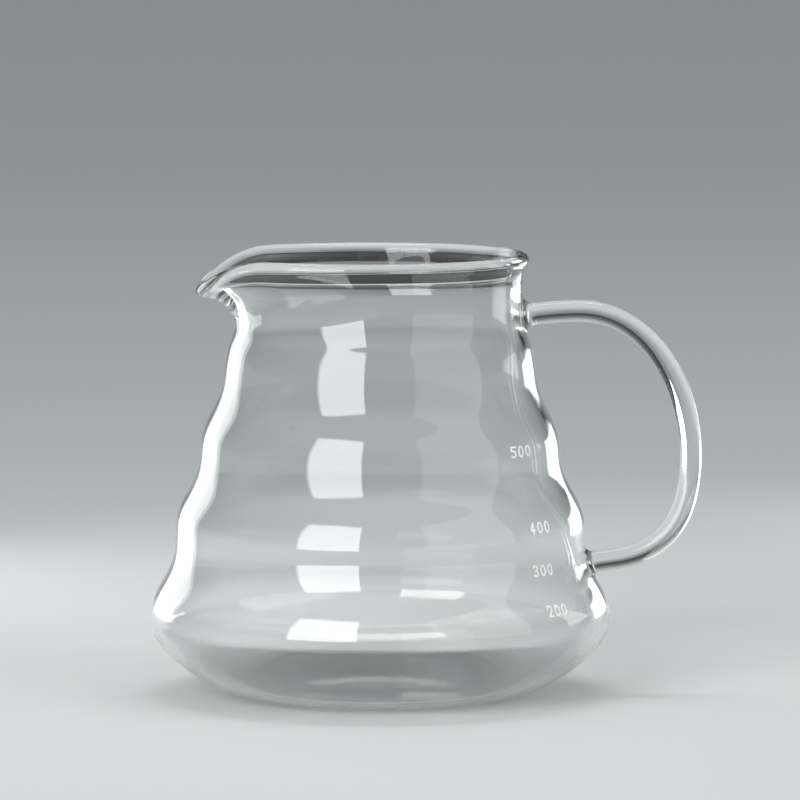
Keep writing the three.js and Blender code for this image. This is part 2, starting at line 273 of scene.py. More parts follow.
def bezier(corners, steps):
    share = np.linspace(0, 1, steps + 1)[:, None]
    level = [np.array(corner, float) for corner in corners]
    while len(level) > 1:
        level = [(1 - share) * a + share * b for a, b in zip(level, level[1:])]
    return level[0]


foot = bezier([(0, 0), (FOOT_RADIUS, 0)], FOOT_STEPS)
bowl = bezier([
    (FOOT_RADIUS, 0), (FOOT_RADIUS + FOOT_TURN, 0),
    (bulge_radius, BULGE_HEIGHT - BULGE_TURN), (bulge_radius, BULGE_HEIGHT),
], BOWL_STEPS)
passed = np.linspace(0, WAVE_COUNT, WAVE_COUNT * WAVE_STEPS + 1)
swell = (WAVE_SWELL - WAVE_FADE * passed) * np.sin(2 * np.pi * passed)
fill = np.where((passed > 1) & (passed < 2), MIDDLE_FILL * np.sin(np.pi * passed) ** 2, 0)
waves = np.stack([bulge_radius - WAVE_DROP * passed + swell + fill, BULGE_HEIGHT + WAVE_PITCH * passed], 1)
print("radius under and over the waves, mm:", *(waves[[0, -1], 0] / MM).round(2))

# %% [markdown]
# Shoulder and neck
#
# Above the waves the wall leans in and then stands upright as the neck. Two arcs could round it off, but
# the shoulder has to leave the last wave in the wave's own direction and arrive upright, so that no crease
# shows in the reflections. A Bezier curve takes exactly those two directions. How far it follows them sets
# how sharply it bends in between, and a sharp bend notches or parts the mirror image of a lamp.

# %% Shoulder and neck
SHOULDER_RISE = 17 * MM
SHOULDER_TURN = 10.2 * MM
NECK_RADIUS = 36.55 * MM
NECK_RISE = 3.8 * MM
SHOULDER_STEPS, NECK_STEPS = 24, 4

waves_end = waves[-1]
neck_base = waves_end[1] + SHOULDER_RISE
neck_top = neck_base + NECK_RISE
end_slope = (2 * np.pi * (WAVE_SWELL - WAVE_FADE * WAVE_COUNT) - WAVE_DROP) / WAVE_PITCH
shoulder = bezier([
    waves_end, waves_end + SHOULDER_TURN * np.array([end_slope, 1]),
    (NECK_RADIUS, neck_base - SHOULDER_TURN), (NECK_RADIUS, neck_base),
], SHOULDER_STEPS)
neck = bezier([(NECK_RADIUS, neck_base), (NECK_RADIUS, neck_top)], NECK_STEPS)
outside = np.concatenate([foot, bowl[1:], waves[1:], shoulder[1:], neck[1:]])
print("points up the outside:", len(outside))

# %% [markdown]
# Lip and rim bead
#
# The cut edge of the glass is heated until it draws itself into a round bead, thicker than the wall, and
# the lip flares out to it. A bevelled edge would be quicker, but a bead has more than half a circle in its
# section. Here it is an arc, which the lip meets in its own direction.

# %% Lip and rim bead
WALL = 2 * MM
RIM_BEAD_RADIUS = 1.85 * MM
RIM_TUCK_ANGLE = math.radians(30)
LIP_STEPS, BEAD_STEPS, THROAT_STEPS = 12, 20, 8
bead_radius = NECK_RADIUS - WALL + RIM_BEAD_RADIUS
bead_height = rim_height - RIM_BEAD_RADIUS


def arc(centre, radius, start, end, steps):
    turn_by = np.linspace(start, end, steps + 1)
    return np.array(centre) + radius * np.stack([np.cos(turn_by), np.sin(turn_by)], 1)


bead = arc((bead_radius, bead_height), RIM_BEAD_RADIUS, -RIM_TUCK_ANGLE, np.pi, BEAD_STEPS)
lead = (bead[0, 1] - neck_top) / 3
lip = bezier([
    (NECK_RADIUS, neck_top), (NECK_RADIUS, neck_top + lead),
    bead[0] - lead * np.array([math.tan(RIM_TUCK_ANGLE), 1]), bead[0],
], LIP_STEPS)
throat = bezier([bead[-1], (NECK_RADIUS - WALL, neck_top)], THROAT_STEPS)
rim = np.concatenate([lip[1:], bead[1:], throat[1:-1]])
print("bead over wall, mm:", round(2 * RIM_BEAD_RADIUS / MM, 2), "over", WALL / MM)

# %% [markdown]
# Inside of the wall
#
# Blown glass follows the mould outside, and inside it keeps about one thickness away. A Solidify modifier
# does that too, but the outline is only a line of points, so each point is simply moved square to the
# line. The room inside follows from the same points, and it shows whether the scale can be right.

# %% Inside of the wall
ML = 1e-6

along = np.gradient(outside, axis=0)
along /= np.linalg.norm(along, axis=1)[:, None]
inside = outside + WALL * np.stack([-along[:, 1], along[:, 0]], 1)
inside[0] = 0, WALL
profile = np.concatenate([outside, rim, inside[::-1]])

ring_radius = (inside[1:, 0] + inside[:-1, 0]) / 2
room = np.sum(np.pi * ring_radius ** 2 * np.diff(inside[:, 1]))
print("profile points:", len(profile), "and room up to the lip, ml:", round(room / ML))

# %% [markdown]
# Start and end of a shape tree
#
# The turned wall, the bent rod and the laid-on print each follow a rule, so each is made by a tree of
# geometry nodes. They could be kept in a blend file, but built here they can be read. Every tree starts
# with named inputs for its sizes, and ends by making its geometry real and giving it a material, so two
# helpers write the start and the end. The first tree needs the number of sides and a joining distance.

# %% Start and end of a shape tree
def shape_tree(name, inputs):
    tree = bpy.data.node_groups.new(name, "GeometryNodeTree")
    tree.interface.new_socket("Geometry", in_out="INPUT", socket_type="NodeSocketGeometry")
    tree.interface.new_socket("Geometry", in_out="OUTPUT", socket_type="NodeSocketGeometry")
    for label, kind in inputs.items():
        tree.interface.new_socket(label, in_out="INPUT", socket_type="NodeSocket" + kind)
    return tree, add(tree, "NodeGroupInput").outputs


def finish_tree(tree, geometry, material):
    smooth = add(tree, "GeometryNodeSetShadeSmooth", inputs={"Geometry": geometry})
    real = add(tree, "GeometryNodeRealizeInstances", inputs={"Geometry": smooth.outputs[0]})
    made = add(tree, "GeometryNodeSetMaterial", inputs={"Geometry": real.outputs[0], "Material": material})
    add(tree, "NodeGroupOutput", inputs={"Geometry": made.outputs[0]})


turning, given = shape_tree("turn_profile", {
    "Sides": "Int", "Join Distance": "Float", "Material": "Material",
})
print("the turning tree takes:", ", ".join(socket.name for socket in given if socket.name))

# %% [markdown]
# Turning a profile
#
# A lathe turns one outline about an axis. Blender has a Screw modifier for that, but as geometry nodes the
# rule is easy to read: make a grid with one row for each point of the outline and one column for each step
# of the turn, fetch each row's point from the outline, and rotate it by its column's angle. Merging by
# distance then closes the seam and the poles.

# %% Turning tree
counted = add(turning, "GeometryNodeAttributeDomainSize", inputs={"Geometry": given["Geometry"]})
rows = counted.outputs["Point Count"]
columns = add(turning, "ShaderNodeMath", {"operation": "ADD"}, {0: given["Sides"], 1: 1})
grid = add(turning, "GeometryNodeMeshGrid", inputs={"Vertices X": columns.outputs[0], "Vertices Y": rows})
index = add(turning, "GeometryNodeInputIndex").outputs[0]
row = add(turning, "ShaderNodeMath", {"operation": "MODULO"}, {0: index, 1: rows})
filled = add(turning, "ShaderNodeMath", {"operation": "DIVIDE"}, {0: index, 1: rows})
column = add(turning, "ShaderNodeMath", {"operation": "FLOOR"}, {0: filled.outputs[0]})
step = add(turning, "ShaderNodeMath", {"operation": "DIVIDE"}, {0: math.tau, 1: given["Sides"]})
angle = add(turning, "ShaderNodeMath", {"operation": "MULTIPLY"}, {
    0: column.outputs[0], 1: step.outputs[0],
})
position = add(turning, "GeometryNodeInputPosition").outputs[0]
outline_point = add(turning, "GeometryNodeSampleIndex", {"data_type": "FLOAT_VECTOR"}, {
    "Geometry": given["Geometry"], "Value": position, "Index": row.outputs[0],
})
turned_point = add(turning, "ShaderNodeVectorRotate", {"rotation_type": "Z_AXIS"}, {
    "Vector": outline_point.outputs[0], "Angle": angle.outputs[0],
})
turned = add(turning, "GeometryNodeSetPosition", inputs={
    "Geometry": grid.outputs["Mesh"], "Position": turned_point.outputs[0],
})
closed = add(turning, "GeometryNodeMergeByDistance", inputs={
    "Geometry": turned.outputs[0], "Distance": given["Join Distance"],
})
finish_tree(turning, closed.outputs[0], given["Material"])
print("turning tree:", len(turning.nodes), "nodes")

# %% [markdown]
# The turned wall
#
# A tree is used by hanging it on an object as a modifier. The inputs are set by their identifiers before
# Blender looks at the object for the first time, then the result is copied out as a plain mesh and the
# modifier is taken off again. A Grid node brings an empty material slot, which is dropped.

# %% Turn the wall
BODY_SIDES = 192
JOIN_DISTANCE = 0.001 * MM


def place(name, data):
    piece = bpy.data.objects.new(name, data)
    scene.collection.objects.link(piece)
    return piece


def run_tree(source, tree, values):
    modifier = source.modifiers.new(tree.name, "NODES")
    modifier.node_group = tree
    for socket in tree.interface.items_tree:
        if socket.in_out == "INPUT" and socket.name in values:
            modifier[socket.identifier] = values[socket.name]
    evaluated = source.evaluated_get(bpy.context.evaluated_depsgraph_get())
    made = bpy.data.meshes.new_from_object(evaluated)
    source.modifiers.remove(modifier)
    if made.materials[0] is None:
        made.materials.pop(index=0)
    return made


def turn(outline, sides, material):
    mesh = bpy.data.meshes.new("outline")
    mesh.from_pydata([(r, 0, z) for r, z in outline], [(i, i + 1) for i in range(len(outline) - 1)], [])
    source = place("outline", mesh)
    made = run_tree(source, turning, {"Sides": sides, "Join Distance": JOIN_DISTANCE, "Material": material})
    bpy.data.objects.remove(source)
    return made


body_mesh = turn(profile, BODY_SIDES, blown_glass)
print("turned wall:", len(body_mesh.polygons), "faces in", [m.name for m in body_mesh.materials])

# %% [markdown]
# How the spout spreads
#
# The glassworker heats one side of the rim and draws it out and down with a tool. The pull is strongest at
# the tip and dies away to both sides. Proportional editing does that with a brush, but a squared cosine
# says exactly how far each side of the rim follows. The pull outwards is wide and the droop is narrow,
# which gives the rim its pear-shaped plan with a low, pinched tip.

# %% Spread of the spout
SPOUT_PULL_SPAN = math.radians(100)
SPOUT_DROOP_SPAN = math.radians(47)


def spout_share(from_tip, half_span):
    return np.cos(np.minimum(np.abs(from_tip) / half_span, 1) * np.pi / 2) ** 2


for degrees in (0, 30, 60):
    shares = [spout_share(math.radians(degrees), span) for span in (SPOUT_PULL_SPAN, SPOUT_DROOP_SPAN)]
    print(degrees, "degrees from the tip, shares of pull and droop:", *np.round(shares, 2))

# %% [markdown]
# The spout
#
# Sculpting the spout by hand would be guesswork, so the wall above a line is bent about a quarter ellipse
# instead. Every point keeps its distance from the middle of the wall, so the glass keeps its thickness
# round the bend. The bead above the bend turns with it, and the wall below it thickens towards the tip.

# %% Pull the spout
SPOUT_DEPTH = 18.8 * MM
SPOUT_REACH = 9 * MM
SPOUT_RISE = 11.1 * MM
spout_start = bead_height - SPOUT_DEPTH


def points_of(mesh):
    points = np.empty(len(mesh.vertices) * 3)
    mesh.vertices.foreach_get("co", points)
    return points.reshape(-1, 3)


def move_points(mesh, points):
    mesh.vertices.foreach_set("co", points.astype(np.float32).ravel())
    mesh.update()


def pull_spout(points):
    x, y, z = points.T
    from_tip = np.arctan2(y, -x)
    pull = spout_share(from_tip, SPOUT_PULL_SPAN)
    droop = spout_share(from_tip, SPOUT_DROOP_SPAN)
    up_to = np.minimum(z, bead_height)
    beyond = z - up_to
    raised = (up_to - spout_start) / SPOUT_DEPTH
    bend = raised * np.pi / 2
    bend_rate = np.pi / 2 / SPOUT_DEPTH
    tilt = np.arctan2(
        pull * SPOUT_REACH * bend_rate * np.sin(bend),
        1 - droop + droop * SPOUT_RISE * bend_rate * np.cos(bend),
    )
    offset = np.hypot(x, y) - bead_radius
    underside = (offset > 0) & (beyond == 0)
    side = np.where(underside, offset + (RIM_BEAD_RADIUS - offset) * droop * raised, offset)
    bent_out = pull * SPOUT_REACH * (1 - np.cos(bend))
    bent_height = (1 - droop) * up_to + droop * (spout_start + SPOUT_RISE * np.sin(bend))
    radius = bead_radius + bent_out + beyond * np.sin(tilt) + side * np.cos(tilt)
    height = bent_height + beyond * np.cos(tilt) - side * np.sin(tilt)
    bent = np.stack([-radius * np.cos(from_tip), radius * np.sin(from_tip), height], 1)
    return np.where((z > spout_start)[:, None], bent, points)


pulled = pull_spout(points_of(body_mesh))
move_points(body_mesh, pulled)
spout_points = pulled[pulled[:, 2] > neck_base]
print("spout tip from the axis, mm:", round(-spout_points[:, 0].min() / MM, 1))

# %% [markdown]
# The body in the frame
#
# The finished wall stands in for the plain solid of the measured model: it moves with the same rigid body
# and hides the solid. Nothing is fitted or scaled, because both were made from the same sizes about the
# same origin.

# %% Body in the frame
body = place("body", body_mesh)
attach(body, "root")
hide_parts("glass_body")
print("body:", len(body_mesh.polygons), "faces")

# %% [markdown]
# The handle's line
#
# The handle is one solid rod, bent hot over a former. Its line leaves the shoulder, rises a little to a
# crown, swings down in a round belly and comes back to the lowest wave almost level. A spline through many
# clicked points would wobble, so four Bezier curves share their directions where they meet. The belly's
# reach comes from the measured model.

# %% Handle's line
ROD_RADIUS = 2.8 * MM
TOP_ROOT_BELOW_RIM = 16.3 * MM
CROWN_RISE = 1.5 * MM
CROWN_OUT = 14.4 * MM
BELLY_DROP = 37.6 * MM
CROWN_TURN = 17.1 * MM
BELLY_UPPER_TURN = 20 * MM
BELLY_LOWER_TURN = 15.6 * MM
HEEL_TURN = 13.6 * MM
LOW_ROOT_HEIGHT = 33.5 * MM
LOW_STRAIGHT = 6.5 * MM
LOW_SLOPE = math.radians(8)
LINE_STEPS = 80


def wall_radius(height):
    return np.interp(height, outside[:, 1], outside[:, 0])


top_height = rim_height - TOP_ROOT_BELOW_RIM
top_wall = wall_radius(top_height)
crown = np.array([top_wall + CROWN_OUT, top_height + CROWN_RISE])
belly = np.array([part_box("glass_handle")[1].x - ROD_RADIUS, crown[1] - BELLY_DROP])
low_end = np.array([wall_radius(LOW_ROOT_HEIGHT), LOW_ROOT_HEIGHT])
outwards = np.array([math.cos(LOW_SLOPE), math.sin(LOW_SLOPE)])
heel = low_end + LOW_STRAIGHT * outwards
line = np.concatenate([
    bezier([(top_wall - WALL, top_height), (top_wall + CROWN_OUT / 2, crown[1]), crown], LINE_STEPS),
    bezier([crown, crown + (CROWN_TURN, 0), belly + (0, BELLY_UPPER_TURN), belly], LINE_STEPS)[1:],
    bezier([belly, belly - (0, BELLY_LOWER_TURN), heel + HEEL_TURN * outwards, heel], LINE_STEPS)[1:],
    bezier([heel, low_end], LINE_STEPS)[1:],
])
line = line[line[:, 0] >= wall_radius(line[:, 1]) - JOIN_DISTANCE]
line_length = np.linalg.norm(np.diff(line, axis=0), axis=1).sum()
print("handle's line, mm:", round(line_length / MM, 1))

# %% [markdown]
# A straight rod with flared roots
#
# Where the hot rod was pressed onto the wall it spread into a small foot. A tube along a curve is the usual
# way to make a rod, but its ends would be cut square. So the rod is turned straight first, with a quarter
# round at each end and closed caps, by the same tree that turned the wall.

# %% Straight rod
TOP_FLARE = 3.1 * MM
LOW_FLARE = 1.7 * MM
ROD_SIDES, ROD_STEPS, FLARE_STEPS, CAP_RINGS = 48, 160, 12, 5


def root_outline(flare):
    cap = bezier([(0, 0), (ROD_RADIUS + flare, 0)], CAP_RINGS)
    turn_up = np.linspace(0, np.pi / 2, FLARE_STEPS + 1)[1:]
    fillet = np.stack([ROD_RADIUS + flare * (1 - np.sin(turn_up)), flare * (1 - np.cos(turn_up))], 1)
    return np.concatenate([cap, fillet])


rod = bezier([(ROD_RADIUS, TOP_FLARE), (ROD_RADIUS, line_length - LOW_FLARE)], ROD_STEPS)
low_root = root_outline(LOW_FLARE)[::-1] * (1, -1) + (0, line_length)
rod_outline = np.concatenate([root_outline(TOP_FLARE), rod[1:-1], low_root])
straight_rod = place("straight_rod", turn(rod_outline, ROD_SIDES, drawn_glass))
straight_points = points_of(straight_rod.data)
print("straight rod:", len(straight_rod.data.polygons), "faces over", round(line_length / MM, 1), "mm")

# %% [markdown]
# Bending the rod
#
# A Curve modifier could bend the rod, but it depends on where both objects stand. A small tree states the
# rule openly: a point's height along the straight rod says how far along the line it belongs, and its two
# sideways offsets are laid square to the line there.

# %% Bending tree
bending, given = shape_tree("bend_along_line", {"Line": "Object", "Material": "Material"})
route = add(bending, "GeometryNodeObjectInfo", inputs={"Object": given["Line"]})
position = add(bending, "GeometryNodeInputPosition").outputs[0]
straight = add(bending, "ShaderNodeSeparateXYZ", inputs={0: position}).outputs
sampled = add(bending, "GeometryNodeSampleCurve", {"mode": "LENGTH", "use_all_curves": True}, {
    "Curves": route.outputs["Geometry"], "Length": straight["Z"],
}).outputs
across = add(bending, "ShaderNodeVectorMath", {"operation": "CROSS_PRODUCT"}, {
    0: (0, 1, 0), 1: sampled["Tangent"],
})
off_line = add(bending, "ShaderNodeVectorMath", {"operation": "SCALE"}, {
    0: across.outputs[0], "Scale": straight["X"],
})
in_plane = add(bending, "ShaderNodeVectorMath", {"operation": "ADD"}, {
    0: sampled["Position"], 1: off_line.outputs[0],
})
sideways = add(bending, "ShaderNodeCombineXYZ", inputs={"Y": straight["Y"]})
bent_place = add(bending, "ShaderNodeVectorMath", {"operation": "ADD"}, {
    0: in_plane.outputs[0], 1: sideways.outputs[0],
})
bent_rod = add(bending, "GeometryNodeSetPosition", inputs={
    "Geometry": given["Geometry"], "Position": bent_place.outputs[0],
})
finish_tree(bending, bent_rod.outputs[0], given["Material"])
print("bending tree:", len(bending.nodes), "nodes")

# %% [markdown]
# The bent rod
#
# The line becomes a curve object, which the tree reads through its input. A poly curve keeps the worked-out
# points as they are, where a smooth spline would round them once more.

# %% Bend the rod
def poly_curve(name, lines):
    curve = bpy.data.curves.new(name, "CURVE")
    curve.dimensions = "3D"
    for points in lines:
        cyclic = np.allclose(points[0], points[-1])
        points = points[:-1] if cyclic else points
        spline = curve.splines.new("POLY")
        spline.points.add(len(points) - 1)
        spline.points.foreach_set("co", np.pad(points, ((0, 0), (0, 1))).astype(np.float32).ravel())
        spline.use_cyclic_u = bool(cyclic)
    return place(name, curve)


handle_line = poly_curve("handle_line", [np.insert(line, 1, 0, axis=1)])
handle_mesh = run_tree(straight_rod, bending, {"Line": handle_line, "Material": drawn_glass})
bpy.data.objects.remove(straight_rod)
bpy.data.objects.remove(handle_line)
print("bent rod reaches, mm:", round(points_of(handle_mesh)[:, 0].max() / MM, 2))

# %% [markdown]
# Melted ends
#
# At both ends the rod is one with the wall. A boolean join would make one mesh of two pieces, and an air
# gap between them would trap light in the rod like a mirror. So each lengthwise line of the rod is slid
# along its own direction until its end lies a hair under the wall's surface, and the slide fades out along
# the rod. A ray then passes from rod to wall almost unbent, as it does through melted glass.

# %% Melt the ends onto the wall
FUSE_DEPTH = 0.15 * MM
ROOT_SPAN = 8 * MM  # length of rod that gives way when an end is slid onto the wall
SLIDE_ROUNDS = 12


def in_space(flat):
    return np.array([flat[0], 0, flat[1]])


def slide_to_wall(points, end, towards, from_end):
    route = in_space(towards / np.linalg.norm(towards))
    across = np.array([route[2], 0, -route[0]])
    root = in_space(end) + np.outer(straight_points[:, 0], across)
    root[:, 1] += straight_points[:, 1]
    slid = np.zeros(len(points))
    for _ in range(SLIDE_ROUNDS):
        at = root + np.outer(slid, route)
        off_wall = np.hypot(at[:, 0], at[:, 1]) - wall_radius(at[:, 2]) + FUSE_DEPTH
        slid -= off_wall / route[0]
    fade = np.clip(1 - from_end / ROOT_SPAN, 0, 1) ** 2
    return points + np.outer(slid * fade, route)


from_top = straight_points[:, 2]
melted = slide_to_wall(points_of(handle_mesh), line[0], line[1] - line[0], from_top)
melted = slide_to_wall(melted, line[-1], line[-1] - line[-2], line_length - from_top)
slide_lengths = np.linalg.norm(melted - points_of(handle_mesh), axis=1)
move_points(handle_mesh, melted)
print("longest slide onto the wall, mm:", round(slide_lengths.max() / MM, 2))

# %% [markdown]
# The handle in the frame
#
# The rod takes the place of the plain solid handle. It is worked from the same kind of glass as the body.

# %% Handle in the frame
handle = place("handle", handle_mesh)
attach(handle, "root")
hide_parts("glass_handle")
print("handle:", len(handle_mesh.polygons), "faces")

# %% [markdown]
# The stroke of a 0
#
# The scale has plain numerals, drawn with one stroke width like those on laboratory glass. A font would do
# for the outlines, but single lines are easier to lay on a wavy wall later. A numeral is one or two lines
# about its own middle. A 0 is one oval, half a stroke smaller on every side than the printed numeral.

# %% Stroke of a 0
DIGIT_HEIGHT = 3 * MM
DIGIT_WIDTH = 2.1 * MM
DIGIT_STROKE = 0.5 * MM
ARC_STEPS = 24
wide, tall = (DIGIT_WIDTH - DIGIT_STROKE) / 2, (DIGIT_HEIGHT - DIGIT_STROKE) / 2


def oval(middle, rise, start, end):
    turn_by = np.radians(np.linspace(start, end, ARC_STEPS + 1))
    return np.stack([wide * np.cos(turn_by), middle + rise * np.sin(turn_by)], 1)


strokes_of = {"0": [oval(0, tall, 0, 360)]}
print("a 0 is drawn with", len(strokes_of["0"][0]), "points")

# %% [markdown]
# Strokes of 2, 3, 4 and 5
#
# These numerals are made of parts of ovals and of straight runs. They could be traced, but a few shares of
# half a numeral's height or width set them all: the bowl of a 2, the waists of a 3 and a 5, and the stem
# and bar of a 4. The hooks of a 3 and a 5 end at the same angle, so that they look like one hand's work.

# %% Strokes of 2, 3, 4 and 5
TWO_BOWL = 0.55
THREE_WAIST = 0.1
FOUR_STEM = 0.45
FOUR_BAR = 0.4
FIVE_WAIST = 0.2
HOOK_END = 144  # degrees

bowl_rise = tall * TWO_BOWL
bowl_middle = tall - bowl_rise
strokes_of["2"] = [np.concatenate([
    oval(bowl_middle, bowl_rise, 180, 0),
    bezier([(wide, bowl_middle), (wide, (bowl_middle - bowl_rise) / 2), (-wide, -tall)], ARC_STEPS)[1:],
    [(wide, -tall)],
])]
waist = tall * THREE_WAIST
upper, lower = (tall - waist) / 2, (tall + waist) / 2
strokes_of["3"] = [oval(waist + upper, upper, HOOK_END, -90), oval(waist - lower, lower, 90, -HOOK_END)]
stem, bar = wide * FOUR_STEM, -tall * FOUR_BAR
strokes_of["4"] = [
    np.array([(stem, tall), (-wide, bar), (wide, bar)]),
    np.array([(stem, tall), (stem, -tall)]),
]
waist = tall * FIVE_WAIST
lower = (tall + waist) / 2
strokes_of["5"] = [np.concatenate([
    [(wide, tall), (-wide, tall), (-wide, waist)], oval(waist - lower, lower, 90, -HOOK_END),
])]
print("numerals drawn:", " ".join(strokes_of))

# %% [markdown]
# From stroke to print
#
# Paste pushed through a screen leaves a thin, even layer. The tree first rounds the corners of a stroke,
# spaces its points evenly and runs a round pen along it, which gives a closed tube as wide as the stroke.
# The tube is pressed flat in the next cell, so its round section becomes the soft edge of the print.

# %% Printing tree, from stroke to tube
printing, given = shape_tree("print_on_wall", {
    "Stroke": "Float", "Corner Points": "Int", "Point Spacing": "Float", "Pen Points": "Int",
    "Azimuth": "Float", "Along Wall": "Float", "Mark Height": "Float", "Mark Radius": "Float",
    "Gap": "Float", "Thickness": "Float", "Ray Start": "Float", "Wall": "Object", "Material": "Material",
})
half = add(printing, "ShaderNodeMath", {"operation": "MULTIPLY"}, {0: given["Stroke"], 1: 0.5}).outputs[0]
rounded = add(printing, "GeometryNodeFilletCurve", {"mode": "POLY"}, {
    "Curve": given["Geometry"], "Count": given["Corner Points"], "Radius": half, "Limit Radius": True,
})
even = add(printing, "GeometryNodeResampleCurve", {"mode": "LENGTH"}, {
    "Curve": rounded.outputs[0], "Length": given["Point Spacing"],
})
pen = add(printing, "GeometryNodeCurvePrimitiveCircle", inputs={
    "Resolution": given["Pen Points"], "Radius": half,
})
drawn = add(printing, "GeometryNodeCurveToMesh", inputs={
    "Curve": even.outputs[0], "Profile Curve": pen.outputs[0], "Fill Caps": True,
})
print("printing tree so far:", len(printing.nodes), "nodes")

# %% [markdown]
# The print laid on the wall
#
# A Shrinkwrap modifier would pull the print to the nearest wall, which bunches it up on the waves. Here a
# point's place along the stroke gives its azimuth and its height instead. A ray is cast from outside
# towards the axis at that azimuth and height, and the point is set down where the ray lands, a hair proud
# of the glass: the back of the tube by the gap, its front by the gap and the thickness.

# %% Printing tree, onto the wall
position = add(printing, "GeometryNodeInputPosition").outputs[0]
flat = add(printing, "ShaderNodeSeparateXYZ", inputs={0: position}).outputs
along_wall = add(printing, "ShaderNodeMath", {"operation": "ADD"}, {0: flat["X"], 1: given["Along Wall"]})
turned_by = add(printing, "ShaderNodeMath", {"operation": "DIVIDE"}, {
    0: along_wall.outputs[0], 1: given["Mark Radius"],
})
azimuth = add(printing, "ShaderNodeMath", {"operation": "ADD"}, {
    0: turned_by.outputs[0], 1: given["Azimuth"],
})
height = add(printing, "ShaderNodeMath", {"operation": "ADD"}, {0: flat["Y"], 1: given["Mark Height"]})
outward = add(printing, "ShaderNodeVectorRotate", {"rotation_type": "Z_AXIS"}, {
    "Vector": (0, -1, 0), "Angle": azimuth.outputs[0],
}).outputs[0]
inward = add(printing, "ShaderNodeVectorMath", {"operation": "SCALE"}, {0: outward, "Scale": -1})
away = add(printing, "ShaderNodeVectorMath", {"operation": "SCALE"}, {
    0: outward, "Scale": given["Ray Start"],
})
on_axis = add(printing, "ShaderNodeCombineXYZ", inputs={"Z": height.outputs[0]})
ray_start = add(printing, "ShaderNodeVectorMath", {"operation": "ADD"}, {
    0: on_axis.outputs[0], 1: away.outputs[0],
})
wall = add(printing, "GeometryNodeObjectInfo", inputs={"Object": given["Wall"]})
landed = add(printing, "GeometryNodeRaycast", inputs={
    "Target Geometry": wall.outputs["Geometry"], "Source Position": ray_start.outputs[0],
    "Ray Direction": inward.outputs[0], "Ray Length": given["Ray Start"],
})
from_middle = add(printing, "ShaderNodeMath", {"operation": "DIVIDE"}, {0: flat["Z"], 1: given["Stroke"]})
from_back = add(printing, "ShaderNodeMath", {"operation": "ADD"}, {0: from_middle.outputs[0], 1: 0.5})
lift = add(printing, "ShaderNodeMath", {"operation": "MULTIPLY_ADD"}, {
    0: from_back.outputs[0], 1: given["Thickness"], 2: given["Gap"],
})
lifted = add(printing, "ShaderNodeVectorMath", {"operation": "SCALE"}, {
    0: outward, "Scale": lift.outputs[0],
})
on_wall = add(printing, "ShaderNodeVectorMath", {"operation": "ADD"}, {
    0: landed.outputs["Hit Position"], 1: lifted.outputs[0],
})
printed = add(printing, "GeometryNodeSetPosition", inputs={
    "Geometry": drawn.outputs[0], "Position": on_wall.outputs[0],
})
finish_tree(printing, printed.outputs[0], given["Material"])
print("printing tree:", len(printing.nodes), "nodes")

# %% [markdown]
# The printed scale
#
# The scale counts millilitres from 500 down to 200, on the front of the wall and towards the handle. Each
# numeral is a patch of enamel of its own. The marks could be placed by eye, but the measured model has
# them already: a mark's place is that of its middle numeral there, and the neighbours stand one pitch away
# along the wall. Free ends of a stroke are run on by half its width, as if they were round.

# %% Numerals on the wall
DIGIT_PITCH = 2.9 * MM
PRINT_GAP = 0.03 * MM
PRINT_THICKNESS = 0.06 * MM
POINT_SPACING = 0.1 * MM
CORNER_POINTS, PEN_POINTS = 5, 10
RAY_START = 200 * MM


def lengthened(stroke):
    if np.allclose(stroke[0], stroke[-1]):
        return stroke
    run_on = [stroke[0] - stroke[1], stroke[-1] - stroke[-2]]
    run_on = [DIGIT_STROKE / 2 * step / np.linalg.norm(step) for step in run_on]
    return np.concatenate([[stroke[0] + run_on[0]], stroke[1:-1], [stroke[-1] + run_on[1]]])


for volume in ("500", "400", "300", "200"):
    mark = sum(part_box(f"print_{volume}_2"), Vector()) / 2
    for count, digit in enumerate(volume, 1):
        strokes = [np.pad(lengthened(stroke), ((0, 0), (0, 1))) for stroke in strokes_of[digit]]
        stroke_lines = poly_curve("strokes", strokes)
        numeral = place(f"enamel_{volume}_{count}", run_tree(stroke_lines, printing, {
            "Stroke": DIGIT_STROKE, "Corner Points": CORNER_POINTS, "Point Spacing": POINT_SPACING,
            "Pen Points": PEN_POINTS, "Azimuth": math.atan2(mark.x, -mark.y),
            "Along Wall": (count - 2) * DIGIT_PITCH, "Mark Height": mark.z,
            "Mark Radius": float(wall_radius(mark.z)), "Gap": PRINT_GAP, "Thickness": PRINT_THICKNESS,
            "Ray Start": RAY_START, "Wall": body, "Material": enamel,
        }))
        bpy.data.objects.remove(stroke_lines)
        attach(numeral, "root")
        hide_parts(f"print_{volume}_{count}")
    print("printed", volume, "at", round(mark.z / MM, 1), "mm above the foot")

# %% [markdown]
# The floor
#
# Clear glass shows only what it bends and mirrors, so its surroundings draw it. It stands on a wide sheet
# of matt paper that sweeps up far behind. Its colour holds a painted pool of light: pale near the server,
# greying off into the distance as painted shade. A plane would do, but its edge would show as a hard line
# in the glass, so the sheet is turned like the wall. It lies a little below the foot: glass that shares a
# face with the floor renders as if it were glued on.

# %% Floor
FLAT_RADIUS, SWEEP_RADIUS = 5.5, 1.0
SWEEP_ANGLE = math.radians(63)
FLOOR_DROP = 0.3 * MM
# distance over which the painted pool of light round the server fades to the painted shade of the far paper
PAINTED_LIGHT_REACH = 0.6
PAPER_ROUGHNESS, PAPER_GLOSS = 0.9, 0.1
SWEEP_STEPS, FLOOR_SIDES = 24, 96


